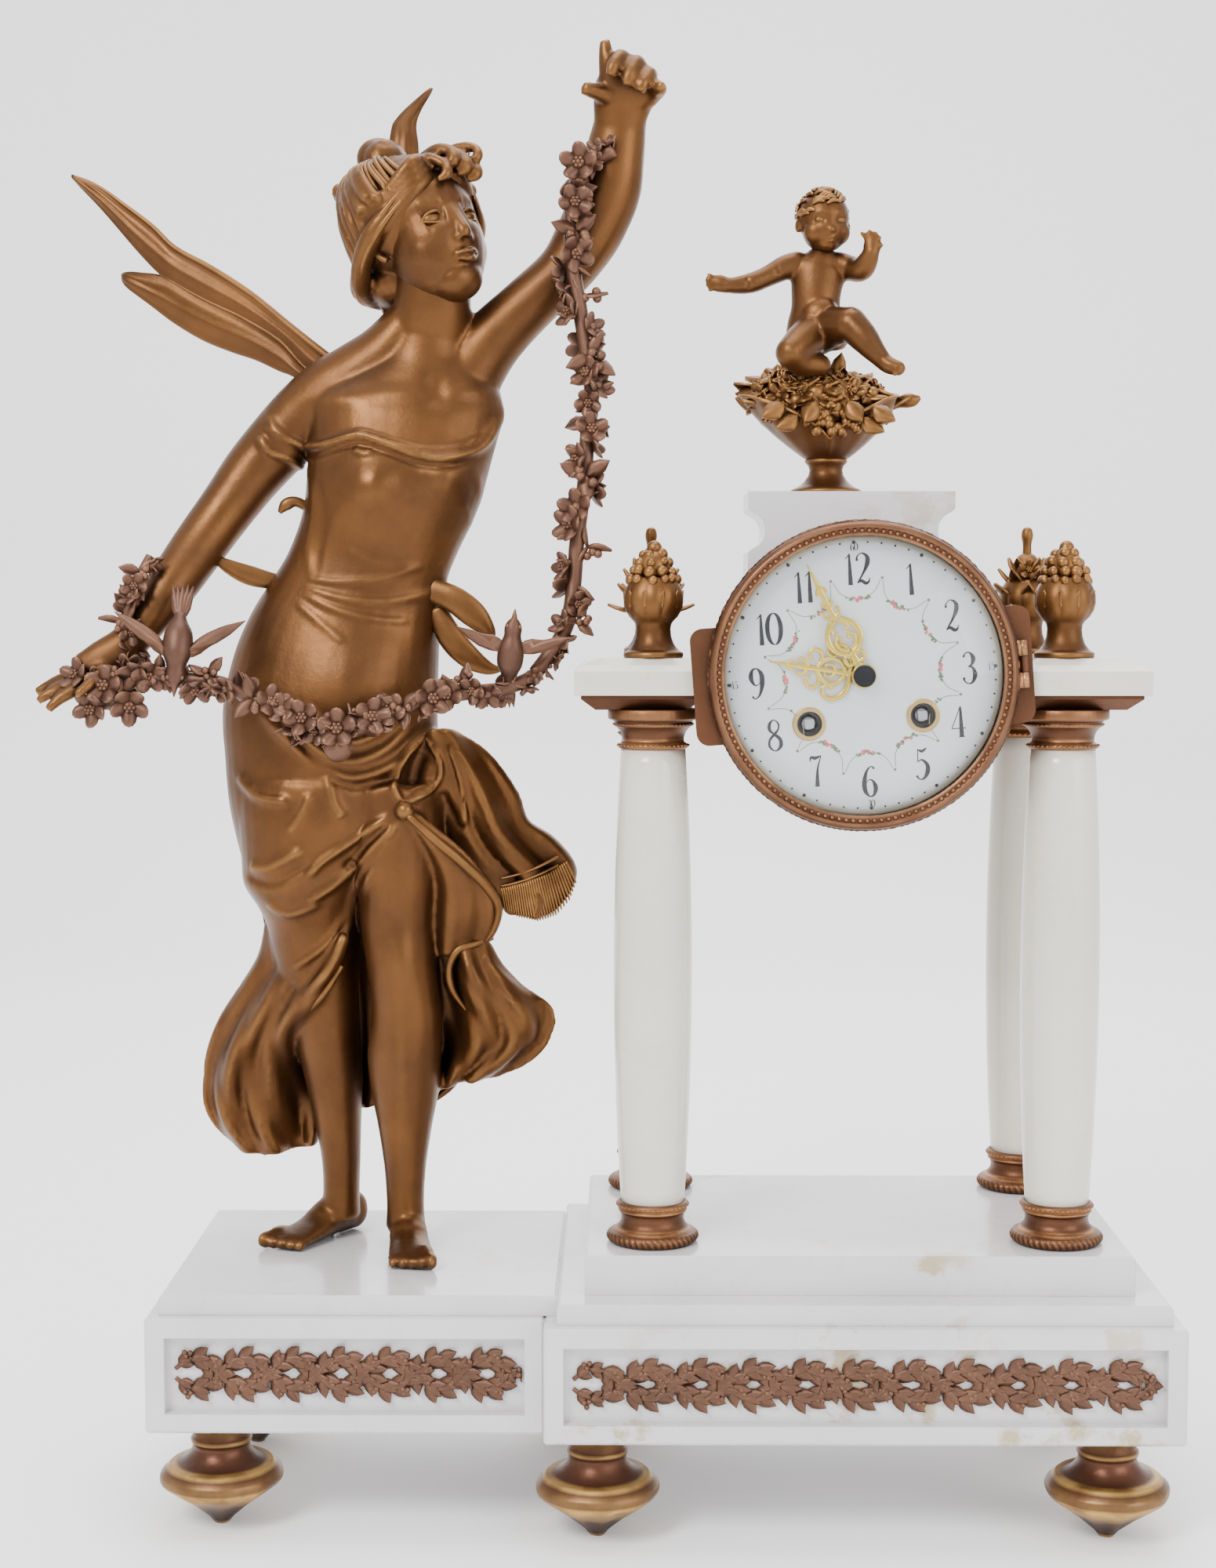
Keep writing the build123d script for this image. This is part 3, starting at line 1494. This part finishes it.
hanging_route_shares = [
    (0.177, 0.004, 0.890),
    (0.168, -0.004, 0.858),
    (0.164, -0.008, 0.812),
    (0.174, -0.012, 0.775),
    (0.179, -0.016, 0.738),
    (0.183, -0.018, 0.702),
    (0.177, -0.020, 0.675),
    (0.181, -0.021, 0.656),
    (0.179, -0.023, 0.632),
    (0.174, -0.027, 0.589),
    (0.166, -0.029, 0.558),
    (0.170, -0.033, 0.541),
    (0.161, -0.039, 0.511),
    (0.140, -0.049, 0.480),
]
front_route_shares = [
    (0.140, -0.049, 0.480),
    (0.111, -0.057, 0.473),
    (0.070, -0.062, 0.472),
    (0.037, -0.058, 0.459),
    (-0.006, -0.054, 0.443),
    (-0.051, -0.054, 0.459),
    (-0.082, -0.055, 0.470),
    (-0.115, -0.053, 0.475),
    (-0.146, -0.051, 0.482),
    (-0.174, -0.047, 0.490),
    (-0.205, -0.047, 0.486),
]
arm_flower_share = (0.176, 0.004, 0.890)
hip_flower_share = (0.070, -0.066, 0.472)
with BuildPart() as garland_hanging:
    add(vine(hanging_route_shares))
    for place in hanging_route_shares[1::2]:
        add(flower(*place, flower_share))
    add(flower(*arm_flower_share, big_flower_share))
    add(maiden_body.part, mode=Mode.SUBTRACT)
    add(arm_raised.part, mode=Mode.SUBTRACT)
keep(garland_hanging.part, "garland_hanging")
with BuildPart() as garland_front:
    add(vine(front_route_shares))
    for place in front_route_shares[1::2]:
        add(flower(*place, flower_share))
    add(flower(*hip_flower_share, big_flower_share))
    add(garland_hanging.part, mode=Mode.SUBTRACT)
    add(maiden_body.part, mode=Mode.SUBTRACT)
    add(arm_lowered.part, mode=Mode.SUBTRACT)
keep(garland_front.part, "garland_front")

# Two small birds with their wings spread, heads down on the garland
bird_shares = [
    (0.001, -0.010, -0.022, 0.004, 0.004),
    (0.001, -0.006, -0.012, 0.009, 0.009),
    (0.000, 0.000, 0.000, 0.012, 0.012),
    (-0.002, 0.002, 0.013, 0.009, 0.009),
    (-0.004, 0.004, 0.027, 0.006, 0.004),
    (-0.004, 0.006, 0.041, 0.008, 0.002),
]
bird_wing_share = 0.005
bird_wing_root_shares = (-0.012, 0.014)
left_bird_share = (-0.146, -0.060, 0.502)
right_bird_share = (0.115, -0.064, 0.494)
left_bird_tips_share = ((-0.191, 0.535), (-0.094, 0.521))
right_bird_tips_share = ((0.072, 0.525), (0.156, 0.509))


def bird(across, back, up, wing_tips):
    """Small bird seen from above, its wing tips given as shares across and up."""
    with BuildPart() as piece:
        add(limb([(across + a, back + b, up + c, wide, deep) for a, b, c, wide, deep in bird_shares]))
        for tip_across, tip_up in wing_tips:
            low, high = bird_wing_root_shares
            corners = [(across, up + low), (tip_across, tip_up), (across, up + high)]
            with BuildSketch(upright(*on_figure(0, back, 0))):
                Polygon(*[(a * figure_height, c * figure_height) for a, c in corners], align=None)
            extrude(amount=bird_wing_share * figure_height / 2, both=True)
    return piece.part


with BuildPart() as birds:
    add(bird(*left_bird_share, left_bird_tips_share))
    add(bird(*right_bird_share, right_bird_tips_share))
    add(garland_front.part, mode=Mode.SUBTRACT)
    add(garland_hanging.part, mode=Mode.SUBTRACT)
keep(birds.part, "birds")

# Putto on the basket: its stations are shares of its own height
putto_height = 75.0
putto = (Vector(urn_x, urn_y, top_level + heap_shares[-1][0] * urn_height), putto_height)
putto_head_shares = [
    (-0.065, -0.027, 0.669, 0.053, 0.053),
    (-0.065, -0.047, 0.716, 0.113, 0.107),
    (-0.065, -0.047, 0.783, 0.141, 0.140),
    (-0.065, -0.033, 0.849, 0.147, 0.153),
    (-0.065, -0.027, 0.916, 0.128, 0.140),
    (-0.065, -0.027, 0.969, 0.080, 0.087),
    (-0.065, -0.027, 0.993, 0.027, 0.027),
]
putto_torso_shares = [
    (-0.160, 0.013, -0.060, 0.160, 0.133),
    (-0.133, 0.000, 0.156, 0.167, 0.140),
    (-0.099, -0.013, 0.316, 0.136, 0.113),
    (-0.107, -0.020, 0.489, 0.129, 0.107),
    (-0.100, -0.027, 0.596, 0.140, 0.087),
    (-0.077, -0.027, 0.649, 0.077, 0.073),
    (-0.069, -0.027, 0.703, 0.072, 0.069),
]
putto_limb_shares = [
    [
        (-0.187, -0.027, 0.583, 0.069, 0.069),
        (-0.307, -0.040, 0.543, 0.064, 0.064),
        (-0.413, -0.053, 0.516, 0.055, 0.055),
        (-0.573, -0.080, 0.487, 0.035, 0.035),
        (-0.653, -0.107, 0.484, 0.045, 0.029),
        (-0.700, -0.107, 0.535, 0.020, 0.016),
    ],
    [
        (-0.013, -0.027, 0.576, 0.069, 0.069),
        (0.080, -0.067, 0.549, 0.061, 0.061),
        (0.165, -0.107, 0.563, 0.055, 0.055),
        (0.193, -0.147, 0.636, 0.043, 0.043),
        (0.139, -0.187, 0.756, 0.020, 0.016),
    ],
    [
        (-0.093, -0.040, 0.143, 0.120, 0.120),
        (0.013, -0.213, 0.189, 0.107, 0.107),
        (0.093, -0.347, 0.203, 0.085, 0.085),
        (0.173, -0.373, 0.129, 0.072, 0.072),
        (0.253, -0.387, 0.049, 0.045, 0.045),
        (0.340, -0.440, -0.004, 0.021, 0.021),
    ],
    [
        (-0.179, -0.047, 0.133, 0.126, 0.116),
        (-0.233, -0.233, 0.163, 0.113, 0.103),
        (-0.272, -0.352, 0.118, 0.096, 0.094),
        (-0.294, -0.384, 0.004, 0.078, 0.076),
        (-0.322, -0.412, -0.147, 0.041, 0.028),
    ],
]
with BuildPart() as putto_figure:
    add(limb(putto_torso_shares, level=True, figure=putto))
    add(limb(putto_head_shares, level=True, figure=putto))
    for stations in putto_limb_shares:
        add(limb(stations, figure=putto))
    add(urn_fruit_pile, mode=Mode.SUBTRACT)
    add(urn.part, mode=Mode.SUBTRACT)
keep(putto_figure.part, "putto")
